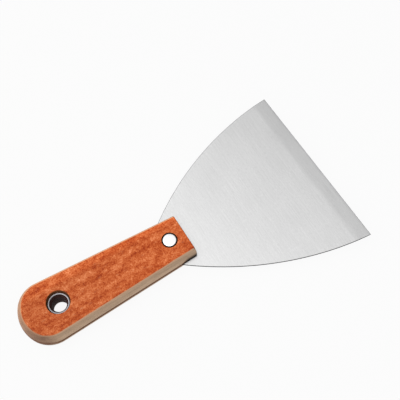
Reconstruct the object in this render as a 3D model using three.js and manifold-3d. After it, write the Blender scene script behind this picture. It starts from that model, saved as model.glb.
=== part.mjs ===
// A drywall taping knife lying flat, its handle's underside on the ground.
// Millimetres, +Z up. +X runs along the knife towards the cutting edge, and +Y across the blade.
// The origin is the middle of the knife's outline, on the ground.

import * as THREE from "three";
import { mergeVertices } from "three/addons/utils/BufferGeometryUtils.js";
import Module from "manifold-3d";

const wasm = await Module();
wasm.setup();

// The whole knife
const LENGTH = 177.5;
const EDGE_X = LENGTH / 2;
const BUTT_X = -LENGTH / 2;

// The blade: one steel sheet whose full tang lies between the two scales
const EDGE_WIDTH = 100;
const SHEET = 0.6;
const EDGE_THICKNESS = 0.24;
const BEVEL_WIDTH = 8;
const FLANK_RADIUS = 176;
const TANG_INSET = 0.5;
const SHOULDER_DEPTH = 10.05;

// The handle: its outline where the scales meet the tang, and the arc that crowns its sides
const HANDLE_LENGTH = 93.8;
const FRONT_X = BUTT_X + HANDLE_LENGTH;
const FRONT_HALF_WIDTH = 12.5;
const FRONT_CORNER = 1;
const SHARP_CORNER = 0.3;
const BUTT_END_RADIUS = 19;
const BUTT_SIDE_RADIUS = 13.8;
const BUTT_END_TURN = Math.PI / 6;
const SCALE = 5.9;
const VENEER = 0.5;
const CROWN_INSET = 2.25;
const CROWN_RADIUS = (SCALE ** 2 + CROWN_INSET ** 2) / (2 * CROWN_INSET);
const CORE = SCALE - VENEER;
// How far the ends come in for each millimetre that the sides do
const FRONT_EASE = 0.2;
const BUTT_EASE = 1.15;
const LOWER_SEAM_Z = SCALE;
const UPPER_SEAM_Z = SCALE + SHEET;
const FACE_Z = UPPER_SEAM_Z + SCALE;

// The two-piece rivet near the front: a post driven into a sleeve
const RIVET_X = FRONT_X - 9.25;
const RIVET_HOLE = 2.6;
const RIVET_SEAT = 4.1;
const RIVET_SEAT_DEPTH = 1.2;
const RIVET_HEAD = 3.5;
const RIVET_FLAT = 3.15;
const RIVET_ROUNDING = 0.3;
const RIVET_PROUD = 0.2;
const RIVET_SUNK = 0.1;
const SLEEVE_RADIUS = 2.4;
const SLEEVE_BORE = 1.7;
const SLEEVE_FLOOR_Z = 1.5;
const SLEEVE_END_GAP = 0.3;
const POST_RADIUS = 1.55;
const POST_END_Z = 2.1;

// The hang eyelet near the butt, with its rolled rim above and its washer below
const EYELET_X = RIVET_X - 63.5;
const EYELET_HOLE = 4.75;
const EYELET_SEAT = 6;
const EYELET_SEAT_DEPTH = 2.7;
const BARREL_RADIUS = 4.5;
const BORE_RADIUS = 3.75;
const RIM_RADIUS = 5.6;
const RIM_MOUTH = 4.6;
const RIM_THICKNESS = 0.9;
const RIM_ROUNDING = 0.3;
const FUNNEL_DEPTH = 2.2;
const WASHER_THICKNESS = 0.9;
const FLARE_RADIUS = 5.2;
const FLARE_THICKNESS = 0.6;

// How finely round shapes are divided
const BUTT_STEPS = 10;
const CORNER_STEPS = 4;
const FLANK_STEPS = 20;
const CROWN_STEPS = 5;
const ROUND_STEPS = 40;

const finishes = {
  steel: new THREE.MeshStandardMaterial({ color: 0xd2d4d6, roughness: 0.35, metalness: 1 }),
  veneer: new THREE.MeshStandardMaterial({ color: 0xcd6437, roughness: 0.6, metalness: 0 }),
  core: new THREE.MeshStandardMaterial({ color: 0xa8927a, roughness: 0.75, metalness: 0 }),
  rivet: new THREE.MeshStandardMaterial({ color: 0xe2e3e4, roughness: 0.3, metalness: 1 }),
  eyelet: new THREE.MeshStandardMaterial({ color: 0x95949a, roughness: 0.35, metalness: 1 }),
};

// The solid that a closed geometry bounds, ready to be cut or joined.
function solidOf(geometry) {
  const bare = geometry.clone();
  bare.deleteAttribute("normal");
  bare.deleteAttribute("uv");
  const merged = mergeVertices(bare, 1e-5);
  return new wasm.Manifold(new wasm.Mesh({
    numProp: 3,
    vertProperties: Float32Array.from(merged.attributes.position.array),
    triVerts: Uint32Array.from(merged.index.array),
  }));
}

// The geometry of a solid.
function geometryOf(solid) {
  const { vertProperties, triVerts } = solid.getMesh();
  const geometry = new THREE.BufferGeometry();
  geometry.setAttribute("position", new THREE.BufferAttribute(vertProperties, 3));
  geometry.setIndex(new THREE.BufferAttribute(triVerts, 1));
  geometry.computeVertexNormals();
  return geometry;
}

// A geometry with others cut out of it.
function cut(geometry, cutters) {
  let solid = solidOf(geometry);
  for (const cutter of cutters) {
    solid = solid.subtract(solidOf(cutter));
  }
  return geometryOf(solid);
}

// An upright cylinder between two heights, at x on the knife's centre line.
function cylinder(x, radius, lowZ, highZ) {
  const geometry = new THREE.CylinderGeometry(radius, radius, highZ - lowZ, ROUND_STEPS);
  geometry.rotateX(Math.PI / 2);
  geometry.translate(x, 0, (lowZ + highZ) / 2);
  return geometry;
}

// A round piece turned about an upright axis at x, from its radius and height pairs.
// The pairs run anticlockwise, with the axis on the left.
function turned(x, profile) {
  const points = profile.map(([radius, z]) => new THREE.Vector2(radius, z));
  const geometry = new THREE.LatheGeometry(points, ROUND_STEPS);
  geometry.rotateX(Math.PI / 2);
  geometry.translate(x, 0, 0);
  return geometry;
}

// How far the crowned side has come in at a height measured from the seam.
function crownInset(height) {
  return CROWN_RADIUS - Math.sqrt(CROWN_RADIUS ** 2 - height ** 2);
}

// The handle's plan at one inset: two front corners, and a butt of a flatter end arc between
// two side arcs. Straight tangents join each front corner to its side arc.
function handlePlan(inset) {
  const corner = Math.max(FRONT_CORNER - inset, SHARP_CORNER);
  const cornerX = FRONT_X - inset * FRONT_EASE - corner;
  const cornerY = FRONT_HALF_WIDTH - inset - corner;
  const end = BUTT_END_RADIUS - inset;
  const side = BUTT_SIDE_RADIUS - inset;
  const endX = BUTT_X + inset * BUTT_EASE + end;
  const sideX = endX - (end - side) * Math.cos(BUTT_END_TURN);
  const sideY = (end - side) * Math.sin(BUTT_END_TURN);
  const run = new THREE.Vector2(cornerX - sideX, cornerY - sideY);
  const tangentAngle = run.angle() + Math.acos((side - corner) / run.length());
  return { corner, cornerX, cornerY, end, endX, side, sideX, sideY, tangentAngle };
}

// Points along an arc, both ends included.
function arcPoints(x, y, radius, from, to, steps) {
  return Array.from({ length: steps + 1 }, (_, i) => {
    const angle = from + (to - from) * i / steps;
    return new THREE.Vector2(x + radius * Math.cos(angle), y + radius * Math.sin(angle));
  });
}

// A plan's butt, from the end of one straight tangent to the start of the other.
function buttPoints({ end, endX, side, sideX, sideY, tangentAngle }) {
  const endStart = Math.PI - BUTT_END_TURN;
  const endStop = Math.PI + BUTT_END_TURN;
  const lastAngle = 2 * Math.PI - tangentAngle;
  return [
    ...arcPoints(sideX, sideY, side, tangentAngle, endStart, BUTT_STEPS),
    ...arcPoints(endX, 0, end, endStart, endStop, BUTT_STEPS).slice(1),
    ...arcPoints(sideX, -sideY, side, endStop, lastAngle, BUTT_STEPS).slice(1),
  ];
}

// The handle's outline at one inset, anticlockwise seen from above.
function handleOutline(inset) {
  const plan = handlePlan(inset);
  const { corner, cornerX, cornerY, tangentAngle } = plan;
  const lastAngle = 2 * Math.PI - tangentAngle;
  return [
    ...arcPoints(cornerX, cornerY, corner, 0, tangentAngle, CORNER_STEPS),
    ...buttPoints(plan),
    ...arcPoints(cornerX, -cornerY, corner, lastAngle, 2 * Math.PI, CORNER_STEPS),
  ];
}

// A closed geometry through matching outlines, given from the lowest to the highest.
function loft(layers) {
  const count = layers[0].outline.length;
  const positions = layers.flatMap(({ outline, z }) => outline.flatMap((p) => [p.x, p.y, z]));
  const index = [];
  for (let layer = 0; layer < layers.length - 1; layer += 1) {
    for (let i = 0; i < count; i += 1) {
      const low = layer * count + i;
      const lowNext = layer * count + (i + 1) % count;
      index.push(low, lowNext, lowNext + count, low, lowNext + count, low + count);
    }
  }
  const top = (layers.length - 1) * count;
  for (const [a, b, c] of THREE.ShapeUtils.triangulateShape(layers[0].outline, [])) {
    index.push(c, b, a);
  }
  for (const [a, b, c] of THREE.ShapeUtils.triangulateShape(layers.at(-1).outline, [])) {
    index.push(top + a, top + b, top + c);
  }
  const geometry = new THREE.BufferGeometry();
  geometry.setAttribute("position", new THREE.Float32BufferAttribute(positions, 3));
  geometry.setIndex(index);
  return geometry;
}

// One glued layer of a scale, between two heights measured outwards from the seam,
// with its holes and seats for the rivet and the eyelet.
// Up is 1 for the upper scale and -1 for the lower one.
function scaleLayer(up, fromHeight, toHeight, steps) {
  const levelZ = (height) => (up > 0 ? UPPER_SEAM_Z + height : LOWER_SEAM_Z - height);
  const layers = Array.from({ length: steps + 1 }, (_, i) => {
    const height = fromHeight + (toHeight - fromHeight) * i / steps;
    return { outline: handleOutline(crownInset(height)), z: levelZ(height) };
  });
  if (up < 0) {
    layers.reverse();
  }
  const hole = (x, radius, depth) => {
    const floor = levelZ(SCALE - depth);
    const beyond = levelZ(SCALE + 1);
    return cylinder(x, radius, Math.min(floor, beyond), Math.max(floor, beyond));
  };
  return cut(loft(layers), [
    hole(RIVET_X, RIVET_HOLE, SCALE + 1),
    hole(RIVET_X, RIVET_SEAT, RIVET_SEAT_DEPTH),
    hole(EYELET_X, EYELET_HOLE, SCALE + 1),
    hole(EYELET_X, EYELET_SEAT, EYELET_SEAT_DEPTH),
  ]);
}

// The wedge that the bevel takes off one face of the blade, along the whole cutting edge.
function bevelCutter(faceZ, outwards) {
  const slope = (SHEET - EDGE_THICKNESS) / 2 / BEVEL_WIDTH;
  const shape = new THREE.Shape([
    new THREE.Vector2(EDGE_X - BEVEL_WIDTH, faceZ),
    new THREE.Vector2(EDGE_X + 1, faceZ - outwards * slope * (BEVEL_WIDTH + 1)),
    new THREE.Vector2(EDGE_X + 1, faceZ + outwards),
    new THREE.Vector2(EDGE_X - BEVEL_WIDTH, faceZ + outwards),
  ]);
  const depth = EDGE_WIDTH + 2;
  const geometry = new THREE.ExtrudeGeometry(shape, { depth, bevelEnabled: false });
  geometry.rotateX(Math.PI / 2);
  geometry.translate(0, depth / 2, 0);
  return geometry;
}

// The flank from a blade corner back to its shoulder, as an arc that bulges outwards.
function flankPoints(cornerX, cornerY, shoulderX, shoulderY) {
  const corner = new THREE.Vector2(cornerX, cornerY);
  const shoulder = new THREE.Vector2(shoulderX, shoulderY);
  const chord = corner.clone().sub(shoulder);
  const rise = Math.sqrt(FLANK_RADIUS ** 2 - chord.lengthSq() / 4);
  const inwards = new THREE.Vector2(chord.y, -chord.x).normalize();
  const centre = corner.clone().add(shoulder).multiplyScalar(0.5).addScaledVector(inwards, rise);
  const from = corner.clone().sub(centre).angle();
  const to = shoulder.clone().sub(centre).angle();
  return arcPoints(centre.x, centre.y, FLANK_RADIUS, from, to, FLANK_STEPS);
}

// The blade: straight edge, two convex flanks, and a tang that follows the handle's outline.
function bladeGeometry() {
  const plan = handlePlan(TANG_INSET);
  const shoulderX = FRONT_X - SHOULDER_DEPTH;
  const sideReach = plan.side - Math.cos(plan.tangentAngle) * (shoulderX - plan.sideX);
  const shoulderY = plan.sideY + sideReach / Math.sin(plan.tangentAngle);
  const flank = flankPoints(EDGE_X, EDGE_WIDTH / 2, shoulderX, shoulderY);
  const farFlank = flank.map((p) => new THREE.Vector2(p.x, -p.y)).reverse();
  const outline = [...flank, ...buttPoints(plan), ...farFlank];
  const sheet = loft([{ outline, z: LOWER_SEAM_Z }, { outline, z: UPPER_SEAM_Z }]);
  return cut(sheet, [
    cylinder(RIVET_X, RIVET_HOLE, LOWER_SEAM_Z - 1, UPPER_SEAM_Z + 1),
    cylinder(EYELET_X, EYELET_HOLE, LOWER_SEAM_Z - 1, UPPER_SEAM_Z + 1),
    bevelCutter(UPPER_SEAM_Z, 1),
    bevelCutter(LOWER_SEAM_Z, -1),
  ]);
}

// The rivet's upper half: a low head with a rounded edge, and a solid post.
function rivetPost() {
  const topZ = FACE_Z + RIVET_PROUD;
  const seatZ = FACE_Z - RIVET_SEAT_DEPTH;
  return turned(RIVET_X, [
    [0, POST_END_Z],
    [POST_RADIUS, POST_END_Z],
    [POST_RADIUS, seatZ],
    [RIVET_HEAD, seatZ],
    [RIVET_HEAD, topZ - RIVET_ROUNDING],
    [RIVET_FLAT, topZ],
    [0, topZ],
  ]);
}

// The rivet's lower half: a head sunk just below the face, and the sleeve that takes the post.
function rivetSleeve() {
  const sleeveEndZ = FACE_Z - RIVET_SEAT_DEPTH - SLEEVE_END_GAP;
  return turned(RIVET_X, [
    [0, RIVET_SUNK],
    [RIVET_FLAT, RIVET_SUNK],
    [RIVET_HEAD, RIVET_SUNK + RIVET_ROUNDING],
    [RIVET_HEAD, RIVET_SEAT_DEPTH],
    [SLEEVE_RADIUS, RIVET_SEAT_DEPTH],
    [SLEEVE_RADIUS, sleeveEndZ],
    [SLEEVE_BORE, sleeveEndZ],
    [SLEEVE_BORE, SLEEVE_FLOOR_Z],
    [0, SLEEVE_FLOOR_Z],
  ]);
}

// The eyelet: a rolled rim with a funnel mouth, a barrel, and the end flared under the washer.
function hangEyelet() {
  const rimSeatZ = FACE_Z - EYELET_SEAT_DEPTH;
  const rimTopZ = rimSeatZ + RIM_THICKNESS;
  const flareTopZ = EYELET_SEAT_DEPTH - WASHER_THICKNESS;
  const endZ = flareTopZ - FLARE_THICKNESS;
  return turned(EYELET_X, [
    [BORE_RADIUS, endZ],
    [FLARE_RADIUS, endZ],
    [FLARE_RADIUS, flareTopZ],
    [BARREL_RADIUS, flareTopZ],
    [BARREL_RADIUS, rimSeatZ],
    [RIM_RADIUS, rimSeatZ],
    [RIM_RADIUS, rimTopZ - RIM_ROUNDING],
    [RIM_RADIUS - RIM_ROUNDING, rimTopZ],
    [RIM_MOUTH, rimTopZ],
    [BORE_RADIUS, rimTopZ - FUNNEL_DEPTH],
    [BORE_RADIUS, endZ],
  ]);
}

// The flat washer that the flared end of the eyelet holds against the lower scale.
function eyeletWasher() {
  const lowZ = EYELET_SEAT_DEPTH - WASHER_THICKNESS;
  return turned(EYELET_X, [
    [EYELET_HOLE, lowZ],
    [RIM_RADIUS, lowZ],
    [RIM_RADIUS, EYELET_SEAT_DEPTH],
    [EYELET_HOLE, EYELET_SEAT_DEPTH],
    [EYELET_HOLE, lowZ],
  ]);
}

const knife = new THREE.Group();

function addPiece(name, geometry, finish) {
  const mesh = new THREE.Mesh(geometry, finish.clone());
  mesh.name = name;
  knife.add(mesh);
}

addPiece("blade", bladeGeometry(), finishes.steel);
addPiece("upper_scale_core", scaleLayer(1, 0, CORE, CROWN_STEPS), finishes.core);
addPiece("upper_scale_veneer", scaleLayer(1, CORE, SCALE, 1), finishes.veneer);
addPiece("lower_scale_core", scaleLayer(-1, 0, CORE, CROWN_STEPS), finishes.core);
addPiece("lower_scale_veneer", scaleLayer(-1, CORE, SCALE, 1), finishes.veneer);
addPiece("rivet_post", rivetPost(), finishes.rivet);
addPiece("rivet_sleeve", rivetSleeve(), finishes.rivet);
addPiece("hang_eyelet", hangEyelet(), finishes.eyelet);
addPiece("eyelet_washer", eyeletWasher(), finishes.eyelet);

export default knife;
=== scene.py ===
"""The looks of a drywall taping knife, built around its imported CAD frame.

Shapes are worked out in millimetres, in the frame's own axes: +X runs towards the cutting edge,
+Y across the blade and +Z up from the ground that the handle lies on.
"""

import math

import bmesh
import bpy
from mathutils import Matrix, Vector


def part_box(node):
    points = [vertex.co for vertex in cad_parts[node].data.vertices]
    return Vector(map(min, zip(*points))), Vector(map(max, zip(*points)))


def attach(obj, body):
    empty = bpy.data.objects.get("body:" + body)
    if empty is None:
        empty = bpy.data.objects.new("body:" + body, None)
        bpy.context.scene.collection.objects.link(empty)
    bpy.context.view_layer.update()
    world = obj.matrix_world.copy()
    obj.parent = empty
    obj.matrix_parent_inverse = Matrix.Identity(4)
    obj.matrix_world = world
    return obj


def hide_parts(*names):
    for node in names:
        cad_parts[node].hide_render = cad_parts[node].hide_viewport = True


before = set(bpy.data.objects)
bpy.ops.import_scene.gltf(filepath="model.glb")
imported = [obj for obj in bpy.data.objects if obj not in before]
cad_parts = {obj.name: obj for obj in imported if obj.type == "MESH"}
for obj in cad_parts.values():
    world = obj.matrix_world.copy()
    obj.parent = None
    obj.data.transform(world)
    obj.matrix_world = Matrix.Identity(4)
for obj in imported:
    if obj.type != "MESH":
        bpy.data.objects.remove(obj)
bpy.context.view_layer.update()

MM = 0.001


def box_mm(node):
    """A CAD node's lowest and highest corners, in millimetres."""
    low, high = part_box(node)
    return low / MM, high / MM


def centre_x(node):
    """The x of the upright axis that a round CAD node is turned about, in millimetres."""
    low, high = box_mm(node)
    return (low.x + high.x) / 2


# Places read from the frame
BLADE_LOW, BLADE_HIGH = box_mm("blade")
CORE_LOW, CORE_HIGH = box_mm("upper_scale_core")
VENEER_LOW, VENEER_HIGH = box_mm("upper_scale_veneer")
EDGE_X = BLADE_HIGH.x
EDGE_HALF_WIDTH = BLADE_HIGH.y
LOWER_SEAM_Z = BLADE_LOW.z
UPPER_SEAM_Z = BLADE_HIGH.z
SHEET = UPPER_SEAM_Z - LOWER_SEAM_Z
MIDDLE_Z = (LOWER_SEAM_Z + UPPER_SEAM_Z) / 2
FACE_Z = VENEER_HIGH.z
SCALE = FACE_Z - UPPER_SEAM_Z
VENEER = VENEER_HIGH.z - VENEER_LOW.z
FRONT_X = CORE_HIGH.x
BUTT_X = CORE_LOW.x
RIVET_X = centre_x("rivet_post")
EYELET_X = centre_x("hang_eyelet")

# The blade
EDGE_THICKNESS = 0.24
BEVEL_WIDTH = 8
BEVEL_BLEND = 1.6
FLANK_RADIUS = 176
TANG_INSET = 0.5
SHOULDER_DEPTH = 10.05
SHEARED_EASE = 0.2
SHEARED_DROP = 0.1

# The handle's outline at the seam, its crowned sides and its eased edges
FRONT_HALF_WIDTH = 12.5
FRONT_CORNER = 1
SHARP_CORNER = 0.45
BUTT_END_RADIUS = 19
BUTT_SIDE_RADIUS = 13.8
BUTT_END_TURN = math.pi / 6
CROWN_INSET = 2.25
CROWN_RADIUS = (SCALE ** 2 + CROWN_INSET ** 2) / (2 * CROWN_INSET)
FRONT_EASE = 0.2
BUTT_EASE = 1.15
SEAM_EASE = 0.2
ARRIS_RADIUS = 0.3
SUPPORT_GAP = 0.1

# Holes and seats in the handle
HOLE_CHAMFER = 0.12
RIVET_HOLE = 2.6
RIVET_SEAT = 4.1
RIVET_SEAT_DEPTH = 1.2
EYELET_HOLE = 4.75
EYELET_SEAT = 6
EYELET_SEAT_DEPTH = 2.7

# The rivet
RIVET_HEAD = 3.5
RIVET_ROUNDING = 0.3
RIVET_DOME = 0.05
RIVET_PROUD = 0.2
RIVET_SUNK = 0.1
SLEEVE_RADIUS = 2.4
SLEEVE_BORE = 1.7
SLEEVE_FLOOR_Z = 1.5
SLEEVE_END_GAP = 0.3
POST_RADIUS = 1.55
POST_END_Z = 2.1

# The hang eyelet and its washer
BARREL_RADIUS = 4.5
BORE_RADIUS = 3.75
RIM_RADIUS = 5.6
RIM_ROLL = 0.5
RIM_ROLL_HEIGHT = 0.3
RIM_THICKNESS = 0.9
FUNNEL_DEPTH = 2.2
WASHER_THICKNESS = 0.9
WASHER_ROUNDING = 0.15
FLARE_RADIUS = 5.2
FLARE_THICKNESS = 0.6
FLARE_ROUNDING = 0.25

# Where the handle's painted light and shade change, measured from its butt and its front, and the
# honed strip
BUTT_TONE_FADES = 6
BUTT_TONE_ENDS = 16
FRONT_SHADE_STARTS = 11
FRONT_SHADE_FULL = 5
HONED_STRIP = 1.2

# Small distances: past the surface that a hole is cut through, and between points that are merged
CUT_PAST = 1
MERGE_DISTANCE = 1e-4

# How finely round shapes are divided
BUTT_STEPS = 26
CORNER_STEPS = 10
FLANK_STEPS = 56
CROWN_STEPS = 12
ARC_STEPS = 6
TURN_STEPS = 112
BLEND_STEPS = 12
SHARP_ANGLE = math.radians(24)


# ---------------------------------------------------------------- mesh building


def arc(x, y, radius, start, end, steps):
    """Points along an arc between two angles, both ends included."""
    angles = [start + (end - start) * i / steps for i in range(steps + 1)]
    return [(x + radius * math.cos(a), y + radius * math.sin(a)) for a in angles]


def finish_mesh(name, bm, materials, pick=None):
    """Turns bmesh geometry in millimetres into an object, smooth but for its sharp edges."""
    bmesh.ops.remove_doubles(bm, verts=bm.verts, dist=MERGE_DISTANCE)
    bmesh.ops.recalc_face_normals(bm, faces=bm.faces)
    bmesh.ops.scale(bm, vec=(MM, MM, MM), verts=bm.verts)
    mesh = bpy.data.meshes.new(name)
    bm.to_mesh(mesh)
    bm.free()
    piece = bpy.data.objects.new(name, mesh)
    bpy.context.scene.collection.objects.link(piece)
    for material in materials:
        mesh.materials.append(material)
    dress_faces(mesh, pick)
    return piece


def dress_faces(mesh, pick):
    """Shades a mesh smooth but for its sharp edges, and gives each face the material it picks."""
    for face in mesh.polygons:
        face.use_smooth = True
        if pick:
            face.material_index = pick(face.center / MM, face.normal)
    mesh.set_sharp_from_angle(angle=SHARP_ANGLE)


def loft(rings):
    """A closed bmesh through matching rings of 3-D points, capped at both ends."""
    bm = bmesh.new()
    rows = [[bm.verts.new(point) for point in ring] for ring in rings]
    count = len(rows[0])
    for low, high in zip(rows, rows[1:]):
        for i in range(count):
            j = (i + 1) % count
            bm.faces.new((low[i], low[j], high[j], high[i]))
    bm.faces.new(reversed(rows[0]))
    bm.faces.new(rows[-1])
    return bm


def turned(x, profile):
    """A bmesh turned about the upright axis at x, from a closed profile of radius and height."""
    bm = bmesh.new()
    angles = [2 * math.pi * i / TURN_STEPS for i in range(TURN_STEPS)]
    rows = []
    for radius, z in profile:
        if radius == 0:
            rows.append([bm.verts.new((x, 0, z))] * TURN_STEPS)
        else:
            points = [(x + radius * math.cos(a), radius * math.sin(a), z) for a in angles]
            rows.append([bm.verts.new(point) for point in points])
    for low, high in zip(rows, rows[1:] + rows[:1]):
        for i in range(TURN_STEPS):
            j = (i + 1) % TURN_STEPS
            corners = list(dict.fromkeys((low[i], low[j], high[j], high[i])))
            if len(corners) > 2:
                bm.faces.new(corners)
    return bm


def cut(piece, cutters, pick):
    """Cuts holes out of a piece, then shades the result and picks its faces' materials again."""
    for cutter in cutters:
        hole = piece.modifiers.new("hole", "BOOLEAN")
        hole.operation = "DIFFERENCE"
        hole.solver = "EXACT"
        hole.object = cutter
    evaluated = piece.evaluated_get(bpy.context.evaluated_depsgraph_get())
    mesh = bpy.data.meshes.new_from_object(evaluated)
    piece.modifiers.clear()
    piece.data = mesh
    dress_faces(mesh, pick)
    for cutter in cutters:
        bpy.data.objects.remove(cutter)


def place(piece, node):
    """Sets a finished piece in the place of its CAD node."""
    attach(piece, "root")
    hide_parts(node)


# ---------------------------------------------------------------- materials


def tone(red, green, blue):
    """A linear colour from sRGB values between 0 and 255."""
    def linear(value):
        share = value / 255
        return share / 12.92 if share <= 0.04045 else ((share + 0.055) / 1.055) ** 2.4
    return (linear(red), linear(green), linear(blue), 1)


class Surface:
    """A procedural material, laid out in millimetres in the frame's own axes."""

    def __init__(self, name, metallic=0, specular=0.5):
        self.material = bpy.data.materials.new(name)
        self.material.use_nodes = True
        self.tree = self.material.node_tree
        self.shader = self.tree.nodes["Principled BSDF"]
        self.shader.inputs["Metallic"].default_value = metallic
        self.shader.inputs["Specular IOR Level"].default_value = specular
        coordinates = self.tree.nodes.new("ShaderNodeTexCoord")
        self.position = self.scaled(coordinates.outputs["Object"], (1 / MM, 1 / MM, 1 / MM))
        self.axes = self.add("ShaderNodeSeparateXYZ", {0: self.position})

    def add(self, kind, inputs, **settings):
        """Adds a node, with its inputs linked or set."""
        node = self.tree.nodes.new(kind)
        for key, value in settings.items():
            setattr(node, key, value)
        for key, value in inputs.items():
            if isinstance(value, bpy.types.NodeSocket):
                self.tree.links.new(value, node.inputs[key])
            else:
                node.inputs[key].default_value = value
        return node

    def scaled(self, vector, factors):
        """A vector multiplied part by part."""
        node = self.add("ShaderNodeVectorMath", {0: vector, 1: factors}, operation="MULTIPLY")
        return node.outputs[0]

    def calculate(self, operation, first, second=0.0):
        """One step of arithmetic."""
        return self.add("ShaderNodeMath", {0: first, 1: second}, operation=operation).outputs[0]

    def noise(self, grain, detail=2.0, shift=0.0):
        """Soft noise whose features are about as long as grain says along x, y and z."""
        vector = self.scaled(self.position, tuple(1 / length for length in grain))
        moved = self.add("ShaderNodeVectorMath", {0: vector, 1: (shift, shift, shift)})
        inputs = {"Vector": moved.outputs[0], "Scale": 1.0, "Detail": detail, "Roughness": 0.55}
        return self.add("ShaderNodeTexNoise", inputs).outputs["Fac"]

    def between(self, value, low, high, out_low=0.0, out_high=1.0):
        """Eases from out_low to out_high as a value goes from low to high."""
        inputs = {"Value": value, "From Min": low, "From Max": high,
                  "To Min": out_low, "To Max": out_high}
        node = self.add("ShaderNodeMapRange", inputs, interpolation_type="SMOOTHSTEP")
        return node.outputs["Result"]

    def ramp(self, value, stops):
        """A colour that runs through the stops, given as place and colour."""
        node = self.add("ShaderNodeValToRGB", {0: value})
        elements = node.color_ramp.elements
        while len(elements) < len(stops):
            elements.new(0.5)
        for element, (spot, colour) in zip(elements, stops):
            element.position = spot
            element.color = colour
        return node.outputs["Color"]

    def mix(self, share, first, second, blend="MIX"):
        """Two colours mixed by a share."""
        node = self.tree.nodes.new("ShaderNodeMix")
        node.data_type = "RGBA"
        node.blend_type = blend
        for index, value in ((0, share), (6, first), (7, second)):
            if isinstance(value, bpy.types.NodeSocket):
                self.tree.links.new(value, node.inputs[index])
            else:
                node.inputs[index].default_value = value
        return node.outputs[2]

    def from_middle(self):
        """The height above or below the middle of the blade's thickness."""
        return self.calculate("ABSOLUTE", self.calculate("SUBTRACT", self.axes.outputs["Z"], MIDDLE_Z))

    def weighted(self, *layers):
        """The sum of several values, each times its weight."""
        total = 0.0
        for value, weight in layers:
            inputs = {0: value, 1: weight, 2: total}
            total = self.add("ShaderNodeMath", inputs, operation="MULTIPLY_ADD").outputs[0]
        return total

    def scaled_colour(self, colour, factor):
        """A colour made darker or lighter by a factor."""
        grey = self.add("ShaderNodeCombineColor", {0: factor, 1: factor, 2: factor}).outputs[0]
        return self.mix(1.0, colour, grey, "MULTIPLY")

    def at_butt(self):
        """1 at the butt, and 0 along the rest of the handle."""
        return self.between(self.axes.outputs["X"], BUTT_X + BUTT_TONE_FADES,
                            BUTT_X + BUTT_TONE_ENDS, 1.0, 0.0)

    def colour(self, colour):
        """Gives the shader its base colour."""
        self.tree.links.new(colour, self.shader.inputs["Base Color"])

    def roughness(self, value, low, high):
        """Roughness that runs from low to high with a noise."""
        spread = self.between(value, 0.3, 0.7, low, high)
        self.tree.links.new(spread, self.shader.inputs["Roughness"])

    def relief(self, height, depth):
        """Bump of about this depth in millimetres."""
        inputs = {"Height": height, "Distance": depth * MM, "Strength": 1.0}
        bump = self.add("ShaderNodeBump", inputs)
        self.tree.links.new(bump.outputs["Normal"], self.shader.inputs["Normal"])


def lit_and_shaded_wood(surface, near, far, butt_shade_tone):
    """A wood colour lit and shaded by painting: the near side, the far side lighter as painted light,
    and the near butt darker as painted shade.
    """
    across = surface.axes.outputs["Y"]
    sides = surface.mix(surface.between(across, -5, 5), near, far)
    butt = surface.mix(surface.between(across, -16, 32), butt_shade_tone, far)
    return surface.mix(surface.at_butt(), sides, butt)


def veneer_material():
    """Dyed orange-brown veneer: finely mottled, faintly streaked, with a pale cut edge; painted light
    lifts the face towards the front and the far side and the cut edge on the far side, and painted
    shade darkens the cut edge at the near butt and the front end.
    """
    surface = Surface("veneer_orange", specular=0.1)
    along, across = (surface.axes.outputs[name] for name in "XY")
    flecks = surface.noise((0.7, 0.62, 0.62), 1, shift=5.7)
    mottle = surface.noise((3.2, 2.6, 2.6), 2, shift=3.1)
    streaks = surface.noise((12, 3.2, 3.2), 2)
    bands = surface.noise((34, 6, 6), 1, shift=7.3)
    figure = surface.weighted((flecks, 0.34), (mottle, 0.27), (streaks, 0.25), (bands, 0.14))
    face = surface.ramp(figure, [
        (0.35, tone(128, 38, 8)),
        (0.43, tone(156, 63, 22)),
        (0.50, tone(177, 85, 41)),
        (0.57, tone(194, 107, 62)),
        (0.66, tone(222, 140, 98)),
    ])
    # Painted light: the face lightens towards the front and towards the far side
    to_front = surface.between(along, BUTT_X, FRONT_X, 0.94, 1.09)
    to_side = surface.between(across, 7, 10, 1.0, 1.2)
    face = surface.scaled_colour(face, surface.calculate("MULTIPLY", to_front, to_side))

    wear = surface.calculate("MULTIPLY", surface.noise((3, 1, 1), 2, shift=9.2), 0.12)
    height = surface.calculate("ADD", surface.from_middle(), wear)
    face_height = FACE_Z - MIDDLE_Z
    is_face = surface.between(height, face_height - 0.02, face_height + 0.05)
    # Painted light and shade: the cut edge is lighter on the far side and darker on the near butt
    cut_edge = lit_and_shaded_wood(surface, tone(168, 136, 110), tone(226, 164, 120), tone(126, 96, 76))
    # Painted shade: the cut edge darkens at the front end
    at_front = surface.between(along, FRONT_X - 1.4, FRONT_X - 0.8)
    cut_edge = surface.mix(at_front, cut_edge, tone(122, 92, 72))
    surface.colour(surface.mix(is_face, cut_edge, face))
    surface.roughness(mottle, 0.45, 0.62)
    surface.relief(surface.weighted((streaks, 0.3), (flecks, 0.7)), 0.04)
    return surface.material


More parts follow.
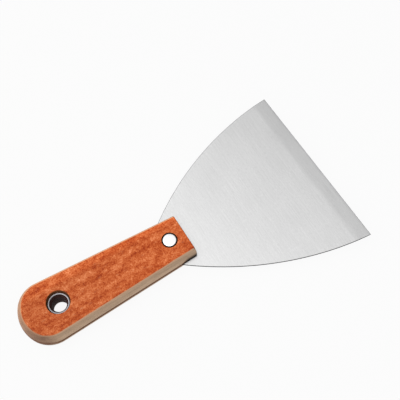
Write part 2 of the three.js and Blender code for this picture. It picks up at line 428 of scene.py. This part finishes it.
def core_material():
    """Sanded beige wood fibre, with painted shade along the seam, painted shadow nearly black at the
    front, painted shade just under the veneer and on the near butt, and painted light on the far side.
    """
    surface = Surface("core_beige", specular=0.15)
    along, up = surface.axes.outputs["X"], surface.axes.outputs["Z"]
    grain = surface.noise((22, 0.5, 0.5), 3)
    broad = surface.noise((16, 3, 3), 1, shift=4.4)
    fibres = surface.noise((1.6, 0.2, 0.2), 1, shift=8.8)
    figure = surface.weighted((grain, 0.45), (broad, 0.3), (fibres, 0.25))
    height = surface.calculate("SUBTRACT", surface.from_middle(), SHEET / 2)
    at_front = surface.between(along, FRONT_X - FRONT_SHADE_STARTS, FRONT_X - FRONT_SHADE_FULL)
    at_butt = surface.at_butt()

    # Painted light on the far side, painted shade on the near butt
    wood = lit_and_shaded_wood(surface, tone(168, 142, 118), tone(214, 164, 130), tone(114, 88, 71))
    wood = surface.scaled_colour(wood, surface.between(figure, 0.34, 0.66, 0.8, 1.2))
    # Painted shade: darker just under the veneer
    shade_below_veneer = surface.between(height, 2.8, 4.4, 1.0, 0.86)
    wood = surface.scaled_colour(wood, shade_below_veneer)

    # The painted shade along the seam lies higher on the upper scale's butt, and is faint on the lower
    # scale
    upper = surface.between(up, LOWER_SEAM_Z - 0.25, LOWER_SEAM_Z - 0.05)
    line = surface.weighted((surface.calculate("MULTIPLY", at_butt, upper), 0.85), (1.0, 0.3))
    off_line = surface.calculate("ABSOLUTE", surface.calculate("SUBTRACT", height, line))
    unshaded = surface.between(
        off_line, surface.weighted((at_front, 0.35), (1.0, 0.22)),
        surface.weighted((at_front, 2.5), (1.0, 0.85)))
    lower = surface.calculate("SUBTRACT", 1.0, upper)
    spared = surface.calculate("MULTIPLY", lower, surface.weighted((at_butt, 0.35), (1.0, 0.6)))
    unshaded = surface.calculate("MAXIMUM", unshaded, spared)
    # Painted shade: brown along the seam, a nearly black painted shadow at the front corner
    seam_shade = surface.mix(at_front, tone(92, 52, 26), tone(24, 13, 7))
    surface.colour(surface.mix(unshaded, seam_shade, wood))
    surface.roughness(grain, 0.5, 0.7)
    surface.relief(surface.weighted((grain, 0.6), (fibres, 0.4)), 0.04)
    return surface.material


def bored_wood_material():
    """Brown wood in the holes and their seats, with painted shade nearly black round the rivet."""
    surface = Surface("bored_brown", specular=0.1)
    rings = surface.noise((0.7, 0.7, 0.3), 3)
    brown = surface.ramp(rings, [(0.3, tone(78, 45, 24)), (0.7, tone(120, 73, 40))])
    # Painted shade: the rivet's seat is painted nearly black where its gap lies in shade
    rivet_gap_shade = surface.between(surface.axes.outputs["X"], EYELET_X + 20, RIVET_X - 20, 0.0, 0.93)
    surface.colour(surface.mix(rivet_gap_shade, brown, tone(10, 5, 5)))
    surface.roughness(rings, 0.6, 0.8)
    surface.relief(rings, 0.06)
    return surface.material


def steel_material():
    """Brushed blade steel: lines across the blade, a darker bevel, and a painted shadow beside the
    handle.
    """
    surface = Surface("steel_brushed", metallic=1)
    along, across = (surface.axes.outputs[name] for name in "XY")
    fine = surface.noise((0.16, 1.6, 1.6), 2)
    medium = surface.noise((0.4, 14, 14), 2, shift=2.7)
    clouds = surface.noise((16, 26, 26), 1, shift=6.1)
    brushing = surface.weighted((fine, 0.56), (medium, 0.34), (clouds, 0.1))
    steel = surface.ramp(brushing, [(0.32, tone(211, 211, 211)), (0.68, tone(235, 235, 235))])
    bevel_start = EDGE_X - BEVEL_WIDTH
    bevel = surface.between(
        along, bevel_start - BEVEL_BLEND, bevel_start + BEVEL_BLEND, 1.0, 0.94)
    honed = surface.between(along, EDGE_X - HONED_STRIP, EDGE_X - HONED_STRIP + 0.5, 1.0, 0.93)
    steel = surface.scaled_colour(surface.scaled_colour(steel, bevel), honed)

    # Painted shadow in the corner between the blade and the handle's straight sides
    _, _, (side_x, side_y, side_radius), tangent = handle_plan(0)
    lean_x, lean_y = math.cos(tangent), math.sin(tangent)
    reach = surface.weighted(
        (along, lean_x), (surface.calculate("ABSOLUTE", across), lean_y),
        (1.0, -side_x * lean_x - side_y * lean_y - side_radius))
    beside = surface.between(reach, 0.05, 0.45, 1.0, 0.0)
    behind_front = surface.between(along, FRONT_X - 1, FRONT_X, 0.97, 0.0)
    shadow_by_handle = surface.calculate("MULTIPLY", beside, behind_front)
    surface.colour(surface.mix(shadow_by_handle, steel, tone(16, 8, 4)))
    surface.roughness(brushing, 0.3, 0.4)
    surface.relief(surface.weighted((fine, 0.6), (medium, 0.4)), 0.003)
    return surface.material


def sheared_steel_material():
    """The blade's sheared edges: dull grey steel, with painted shade nearly black along the near
    flank.
    """
    surface = Surface("steel_sheared", metallic=1)
    along, across = (surface.axes.outputs[name] for name in "XY")
    scores = surface.noise((0.4, 0.4, 2), 2)
    grey = surface.ramp(scores, [(0.3, tone(96, 96, 97)), (0.7, tone(140, 140, 141))])
    # Painted shade: the near flank's edge is painted nearly black
    near = surface.calculate(
        "MULTIPLY", surface.between(across, -9, -6, 1.0, 0.0),
        surface.between(along, EDGE_X - 1, EDGE_X - 0.5, 1.0, 0.0))
    surface.colour(surface.mix(near, grey, tone(8, 8, 9)))
    surface.roughness(scores, 0.5, 0.65)
    surface.relief(scores, 0.02)
    return surface.material


def plated_steel_material(name, dark, light, roughness):
    """Plated steel with faint stains."""
    surface = Surface(name, metallic=1)
    stains = surface.noise((0.9, 0.9, 0.5), 3)
    surface.colour(surface.ramp(stains, [(0.3, dark), (0.7, light)]))
    surface.roughness(stains, roughness - 0.05, roughness + 0.08)
    surface.relief(stains, 0.002)
    return surface.material


def dull_bore_material():
    """The eyelet's inside: dull dark steel, painted nearly black partly for that dull finish and
    partly as painted shade down the bore.
    """
    surface = Surface("steel_bore", specular=0.03)
    stains = surface.noise((1.2, 1.2, 0.6), 3)
    surface.colour(surface.ramp(stains, [(0.3, tone(42, 25, 24)), (0.7, tone(66, 46, 43))]))
    surface.roughness(stains, 0.55, 0.7)
    surface.relief(stains, 0.03)
    return surface.material


# ---------------------------------------------------------------- the handle


def crown_inset(height):
    """How far the crowned side has come in at a height measured from the seam."""
    return CROWN_RADIUS - math.sqrt(CROWN_RADIUS ** 2 - height ** 2)


def handle_plan(inset):
    """The handle's plan at one inset: front corner, end arc and side arc as centre and radius.

    The last value is the angle at which the straight tangent leaves the corner and the side arc.
    """
    corner_radius = max(FRONT_CORNER - inset, SHARP_CORNER)
    corner_x = FRONT_X - inset * FRONT_EASE - corner_radius
    corner = (corner_x, FRONT_HALF_WIDTH - inset - corner_radius, corner_radius)
    end_radius = BUTT_END_RADIUS - inset
    end = (BUTT_X + inset * BUTT_EASE + end_radius, 0, end_radius)
    apart = BUTT_END_RADIUS - BUTT_SIDE_RADIUS
    side = (end[0] - apart * math.cos(BUTT_END_TURN), apart * math.sin(BUTT_END_TURN),
            BUTT_SIDE_RADIUS - inset)
    run_x, run_y = corner[0] - side[0], corner[1] - side[1]
    turn = math.acos((side[2] - corner_radius) / math.hypot(run_x, run_y))
    return corner, end, side, math.atan2(run_y, run_x) + turn


def butt_points(end, side, tangent):
    """The butt, from the end of one straight tangent to the start of the other."""
    start, stop = math.pi - BUTT_END_TURN, math.pi + BUTT_END_TURN
    x, y, radius = side
    return (arc(x, y, radius, tangent, start, BUTT_STEPS)
            + arc(*end, start, stop, BUTT_STEPS)[1:]
            + arc(x, -y, radius, stop, 2 * math.pi - tangent, BUTT_STEPS)[1:])


def handle_outline(inset):
    """The handle's outline at one inset, anticlockwise seen from above."""
    corner, end, side, tangent = handle_plan(inset)
    x, y, radius = corner
    return (arc(x, y, radius, 0, tangent, CORNER_STEPS)
            + butt_points(end, side, tangent)
            + arc(x, -y, radius, 2 * math.pi - tangent, 2 * math.pi, CORNER_STEPS))


def drawn_in(outline, amount):
    """An anticlockwise outline moved inwards by the same amount all round."""
    moved = []
    for before, here, after in zip(outline[-1:] + outline[:-1], outline, outline[1:] + outline[:1]):
        arriving = Vector((here[0] - before[0], here[1] - before[1])).normalized()
        leaving = Vector((after[0] - here[0], after[1] - here[1])).normalized()
        inwards = Vector((-arriving.y - leaving.y, arriving.x + leaving.x)).normalized()
        reach = amount / inwards.dot(Vector((-leaving.y, leaving.x)))
        moved.append((here[0] + inwards.x * reach, here[1] + inwards.y * reach))
    return moved


def rounded_levels(radius, face):
    """Heights and insets round one edge of a layer, from beside the face to the upright side.

    Face is the face's height: the levels lead away from it by radius, upwards if radius is
    positive and downwards if it is negative.
    """
    size = abs(radius)
    turns = [math.pi / 2 * i / ARC_STEPS for i in range(ARC_STEPS + 1)]
    return [(face, size + SUPPORT_GAP)] + [
        (face + radius * (1 - math.cos(turn)), size * (1 - math.sin(turn))) for turn in turns]


def scale_layer(name, up, levels, materials):
    """One glued layer of a scale through levels of height and inset, with its holes and seats.

    Heights are measured outwards from the seam. Up is 1 for the upper scale, -1 for the lower.
    """
    def level_z(height):
        return UPPER_SEAM_Z + height if up > 0 else LOWER_SEAM_Z - height

    def hole(x, radius, seat, depth):
        mouth = SCALE - HOLE_CHAMFER
        profile = [(0, -CUT_PAST), (radius, -CUT_PAST), (radius, SCALE - depth),
                   (seat, SCALE - depth), (seat, mouth), (seat + CUT_PAST, mouth + CUT_PAST),
                   (0, mouth + CUT_PAST)]
        placed = [(reach, level_z(height)) for reach, height in profile]
        return finish_mesh("cutter", turned(x, placed), [])

    def pick(centre, normal):
        across = [math.hypot(centre.x - x, centre.y) - seat - HOLE_CHAMFER
                  for x, seat in ((RIVET_X, RIVET_SEAT), (EYELET_X, EYELET_SEAT))]
        return int(min(across) < 0)

    rings = []
    for height, extra in levels:
        outline = drawn_in(handle_outline(crown_inset(height)), extra)
        rings.append([(x, y, level_z(height)) for x, y in outline])
    piece = finish_mesh(name, loft(rings), materials)
    cutters = [hole(RIVET_X, RIVET_HOLE, RIVET_SEAT, RIVET_SEAT_DEPTH),
               hole(EYELET_X, EYELET_HOLE, EYELET_SEAT, EYELET_SEAT_DEPTH)]
    cut(piece, cutters, pick)
    return piece


def make_scale(side, up, core_wood, veneer_wood, bored_wood):
    """A scale: its wood-fibre core, and the veneer glued on the outside."""
    core = SCALE - VENEER
    first = SEAM_EASE
    sides = [(first + (core - first) * i / CROWN_STEPS, 0) for i in range(1, CROWN_STEPS + 1)]
    core_levels = rounded_levels(SEAM_EASE, 0) + sides
    veneer_levels = [(core, 0)] + rounded_levels(-ARRIS_RADIUS, SCALE)[::-1]
    made = scale_layer(f"{side}_core_wood", up, core_levels, [core_wood, bored_wood])
    place(made, f"{side}_scale_core")
    made = scale_layer(f"{side}_face_veneer", up, veneer_levels, [veneer_wood, bored_wood])
    place(made, f"{side}_scale_veneer")


# ---------------------------------------------------------------- the blade


def flank_points(shoulder_x, shoulder_y):
    """The flank from the blade's corner back to its shoulder, as an arc that bulges outwards."""
    corner = Vector((EDGE_X, EDGE_HALF_WIDTH))
    shoulder = Vector((shoulder_x, shoulder_y))
    chord = corner - shoulder
    rise = math.sqrt(FLANK_RADIUS ** 2 - chord.length_squared / 4)
    centre = (corner + shoulder) / 2 + Vector((chord.y, -chord.x)).normalized() * rise
    start = math.atan2(corner.y - centre.y, corner.x - centre.x)
    end = math.atan2(shoulder.y - centre.y, shoulder.x - centre.x)
    return arc(centre.x, centre.y, FLANK_RADIUS, start, end, FLANK_STEPS)


def blade_outline():
    """The blade and its tang seen from above, anticlockwise."""
    _, end, side, tangent = handle_plan(TANG_INSET)
    x, y, radius = side
    shoulder_x = FRONT_X - SHOULDER_DEPTH
    shoulder_y = y + (radius - math.cos(tangent) * (shoulder_x - x)) / math.sin(tangent)
    flank = flank_points(shoulder_x, shoulder_y)
    return flank + butt_points(end, side, tangent) + [(x, -y) for x, y in reversed(flank)]


def thickness_at(x):
    """The blade's thickness, which falls off on the bevel after a soft start."""
    slope = (SHEET - EDGE_THICKNESS) / BEVEL_WIDTH
    run = x - (EDGE_X - BEVEL_WIDTH)
    if run < -BEVEL_BLEND:
        return SHEET
    if run > BEVEL_BLEND:
        return SHEET - slope * run
    return SHEET - slope * (run + BEVEL_BLEND) ** 2 / (4 * BEVEL_BLEND)


def make_blade(steel, sheared_steel):
    """The blade: eased sheared edges all round, and a bevel that thins it to the cutting edge."""
    def pick(centre, normal):
        return int(abs(normal.z) < 0.9)

    def hole(x, radius):
        low_z, high_z = LOWER_SEAM_Z - CUT_PAST, UPPER_SEAM_Z + CUT_PAST
        profile = [(0, low_z), (radius, low_z), (radius, high_z), (0, high_z)]
        return finish_mesh("cutter", turned(x, profile), [])

    outline = blade_outline()
    inner = drawn_in(outline, SHEARED_EASE)
    half = SHEET / 2
    levels = ((-half, inner), (SHEARED_DROP - half, outline),
              (half - SHEARED_DROP, outline), (half, inner))
    bm = loft([[(x, y, z) for x, y in points] for z, points in levels])
    for i in range(BLEND_STEPS + 1):
        station = EDGE_X - BEVEL_WIDTH + BEVEL_BLEND * (2 * i / BLEND_STEPS - 1)
        parts = bm.verts[:] + bm.edges[:] + bm.faces[:]
        bmesh.ops.bisect_plane(bm, geom=parts, plane_co=(station, 0, 0), plane_no=(1, 0, 0))
    for vertex in bm.verts:
        depth = half - abs(vertex.co.z)
        surface_z = thickness_at(vertex.co.x) / 2
        vertex.co.z = MIDDLE_Z + math.copysign(surface_z - depth, vertex.co.z)
    piece = finish_mesh("brushed_blade", bm, [steel, sheared_steel])
    cut(piece, [hole(RIVET_X, RIVET_HOLE), hole(EYELET_X, EYELET_HOLE)], pick)
    place(piece, "blade")


# ---------------------------------------------------------------- rivet, eyelet and washer


def dome(radius, top_z, height):
    """Profile points over a low dome, from its rim to the axis."""
    shares = [1 - i / ARC_STEPS for i in range(ARC_STEPS + 1)]
    return [(radius * share, top_z - height * share ** 2) for share in shares]


def make_rivet(steel):
    """The rivet's upper half with its solid post, and its lower half with the sleeve."""
    flat = RIVET_HEAD - RIVET_ROUNDING
    seat_z = FACE_Z - RIVET_SEAT_DEPTH
    top_z = FACE_Z + RIVET_PROUD
    shoulder_z = top_z - RIVET_DOME - RIVET_ROUNDING
    post = [(0, POST_END_Z), (POST_RADIUS, POST_END_Z), (POST_RADIUS, seat_z), (RIVET_HEAD, seat_z)]
    post += arc(flat, shoulder_z, RIVET_ROUNDING, 0, math.pi / 2, ARC_STEPS)[:-1]
    post += dome(flat, top_z, RIVET_DOME)
    piece = finish_mesh("rivet_head_and_post", turned(RIVET_X, post), [steel])
    place(piece, "rivet_post")

    low_shoulder_z = RIVET_SUNK + RIVET_DOME + RIVET_ROUNDING
    sleeve_end_z = seat_z - SLEEVE_END_GAP
    sleeve = [(reach, 2 * RIVET_SUNK - z)
              for reach, z in reversed(dome(flat, RIVET_SUNK, RIVET_DOME))]
    sleeve += arc(flat, low_shoulder_z, RIVET_ROUNDING, -math.pi / 2, 0, ARC_STEPS)[1:]
    sleeve += [(RIVET_HEAD, RIVET_SEAT_DEPTH), (SLEEVE_RADIUS, RIVET_SEAT_DEPTH),
               (SLEEVE_RADIUS, sleeve_end_z), (SLEEVE_BORE, sleeve_end_z),
               (SLEEVE_BORE, SLEEVE_FLOOR_Z), (0, SLEEVE_FLOOR_Z)]
    piece = finish_mesh("rivet_head_and_sleeve", turned(RIVET_X, sleeve), [steel])
    place(piece, "rivet_sleeve")


def make_eyelet(rim_steel, bore_steel):
    """The hang eyelet: rolled rim, funnel, bore, and the end flared over the washer."""
    seat_z = FACE_Z - EYELET_SEAT_DEPTH
    roll_z = seat_z + RIM_THICKNESS - RIM_ROLL_HEIGHT
    mouth = RIM_RADIUS - 2 * RIM_ROLL
    flare_top_z = EYELET_SEAT_DEPTH - WASHER_THICKNESS
    end_z = flare_top_z - FLARE_THICKNESS
    low_z = end_z + FLARE_ROUNDING
    funnel_steps = 2 * ARC_STEPS
    funnel = []
    for i in range(1, funnel_steps + 1):
        share = i / funnel_steps
        reach = BORE_RADIUS + (mouth - BORE_RADIUS) * (1 + math.cos(math.pi * share)) / 2
        funnel.append((reach, roll_z - share * (FUNNEL_DEPTH - RIM_ROLL_HEIGHT)))
    bore_edge, outer_edge = BORE_RADIUS + FLARE_ROUNDING, FLARE_RADIUS - FLARE_ROUNDING
    profile = arc(bore_edge, low_z, FLARE_ROUNDING, math.pi, 1.5 * math.pi, ARC_STEPS)
    profile += arc(outer_edge, low_z, FLARE_ROUNDING, -math.pi / 2, 0, ARC_STEPS)
    profile += [(FLARE_RADIUS, flare_top_z), (BARREL_RADIUS, flare_top_z),
                (BARREL_RADIUS, seat_z), (RIM_RADIUS, seat_z)]
    roll = arc(0, 0, 1, 0, math.pi, 2 * ARC_STEPS)
    profile += [(RIM_RADIUS - RIM_ROLL + x * RIM_ROLL, roll_z + y * RIM_ROLL_HEIGHT) for x, y in roll]
    profile += funnel

    def pick(centre, normal):
        reach = math.hypot(centre.x - EYELET_X, centre.y)
        return int(reach < mouth + RIM_ROLL / 4 and low_z < centre.z)

    piece = finish_mesh("rolled_eyelet", turned(EYELET_X, profile), [rim_steel, bore_steel], pick)
    place(piece, "hang_eyelet")


def make_washer(steel):
    """The flat washer under the eyelet's flared end, its outer edges rounded."""
    high_z = EYELET_SEAT_DEPTH
    low_z = high_z - WASHER_THICKNESS
    edge = RIM_RADIUS - WASHER_ROUNDING
    profile = [(EYELET_HOLE, high_z), (EYELET_HOLE, low_z)]
    profile += arc(edge, low_z + WASHER_ROUNDING, WASHER_ROUNDING, -math.pi / 2, 0, ARC_STEPS)
    profile += arc(edge, high_z - WASHER_ROUNDING, WASHER_ROUNDING, 0, math.pi / 2, ARC_STEPS)
    piece = finish_mesh("flat_washer", turned(EYELET_X, profile), [steel])
    place(piece, "eyelet_washer")


# ---------------------------------------------------------------- floor, light and camera

FLOOR_SIZE = 8.0
FLOOR_DROP = 0.05
FLOOR_GLOW = 0.92
FLOOR_TINT = 0.04
LOOK_AT = Vector((21.2, 11.4, 12.4)) * MM
CAMERA_AZIMUTH = math.radians(-32.96)
CAMERA_ELEVATION = math.radians(63.09)
CAMERA_ROLL = math.radians(1.35)
CAMERA_DISTANCE = 0.385
CAMERA_LENS = 65.85
SKY_AZIMUTH = math.radians(-78)
SKY_ELEVATION = math.radians(44)
SKY_DIM = 0.4
SKY_DIM_AT = 0.05
SKY_BRIGHT = 1.45
SKY_BRIGHT_AT = 0.63
KEY_AZIMUTH = math.radians(-100)
KEY_ELEVATION = math.radians(58)
KEY_DISTANCE = 1.2
KEY_SIZE = 0.9
KEY_POWER = 4.0


def direction(azimuth, elevation):
    """The unit vector towards a viewer at this azimuth, 0 being in front of -Y, and elevation."""
    flat = math.cos(elevation)
    return Vector((math.sin(azimuth) * flat, -math.cos(azimuth) * flat, math.sin(elevation)))


def make_floor():
    """A plain pale floor, bright of its own, so that it takes only the faintest shadow."""
    bm = bmesh.new()
    bmesh.ops.create_grid(bm, x_segments=1, y_segments=1, size=FLOOR_SIZE / 2 / MM)
    material = bpy.data.materials.new("floor_pale")
    material.use_nodes = True
    shader = material.node_tree.nodes["Principled BSDF"]
    shader.inputs["Base Color"].default_value = (FLOOR_TINT, FLOOR_TINT, FLOOR_TINT, 1)
    shader.inputs["Roughness"].default_value = 1
    shader.inputs["Specular IOR Level"].default_value = 0
    shader.inputs["Emission Color"].default_value = (1, 1, 1, 1)
    shader.inputs["Emission Strength"].default_value = FLOOR_GLOW
    floor = finish_mesh("floor", bm, [material])
    floor.location.z = -FLOOR_DROP * MM


def make_sky():
    """A soft studio surround, brightest high above the butt end and darker beyond the blade."""
    world = bpy.data.worlds.new("studio")
    bpy.context.scene.world = world
    world.use_nodes = True
    tree = world.node_tree
    coordinates = tree.nodes.new("ShaderNodeTexCoord")
    closeness = tree.nodes.new("ShaderNodeVectorMath")
    closeness.operation = "DOT_PRODUCT"
    closeness.inputs[1].default_value = direction(SKY_AZIMUTH, SKY_ELEVATION)
    level = tree.nodes.new("ShaderNodeMapRange")
    for name, value in (("From Min", SKY_DIM_AT), ("From Max", SKY_BRIGHT_AT),
                        ("To Min", SKY_DIM), ("To Max", SKY_BRIGHT)):
        level.inputs[name].default_value = value
    tree.links.new(coordinates.outputs["Generated"], closeness.inputs[0])
    tree.links.new(closeness.outputs["Value"], level.inputs["Value"])
    tree.links.new(level.outputs["Result"], tree.nodes["Background"].inputs["Strength"])
    tree.nodes["Background"].inputs["Color"].default_value = (1, 1, 1, 1)


def make_key_light():
    """One large soft light above the butt end."""
    light = bpy.data.lights.new("key", "AREA")
    light.shape = "SQUARE"
    light.size = KEY_SIZE
    light.energy = KEY_POWER
    lamp = bpy.data.objects.new("key", light)
    towards = direction(KEY_AZIMUTH, KEY_ELEVATION)
    lamp.location = towards * KEY_DISTANCE
    lamp.rotation_euler = towards.to_track_quat("Z", "Y").to_euler()
    bpy.context.scene.collection.objects.link(lamp)


def make_camera():
    """The camera, above the knife on the side of its butt and its near flank."""
    camera = bpy.data.cameras.new("camera")
    camera.lens = CAMERA_LENS
    camera.clip_start = 0.01
    viewer = bpy.data.objects.new("camera", camera)
    back = direction(CAMERA_AZIMUTH, CAMERA_ELEVATION)
    turn = (-back).to_track_quat("-Z", "Y").to_matrix() @ Matrix.Rotation(CAMERA_ROLL, 3, "Z")
    viewer.location = LOOK_AT + back * CAMERA_DISTANCE
    viewer.rotation_euler = turn.to_euler()
    bpy.context.scene.collection.objects.link(viewer)
    bpy.context.scene.camera = viewer
    bpy.context.scene.view_settings.view_transform = "Standard"


# ---------------------------------------------------------------- the whole scene

rivet_steel = plated_steel_material("steel_rivet", tone(238, 239, 240), tone(252, 252, 253), 0.26)
eyelet_steel = plated_steel_material("steel_eyelet", tone(148, 145, 147), tone(174, 171, 174), 0.5)
core_wood = core_material()
veneer_wood = veneer_material()
bored_wood = bored_wood_material()

make_blade(steel_material(), sheared_steel_material())
make_scale("upper", 1, core_wood, veneer_wood, bored_wood)
make_scale("lower", -1, core_wood, veneer_wood, bored_wood)
make_rivet(rivet_steel)
make_eyelet(eyelet_steel, dull_bore_material())
make_washer(eyelet_steel)
make_floor()
make_sky()
make_key_light()
make_camera()
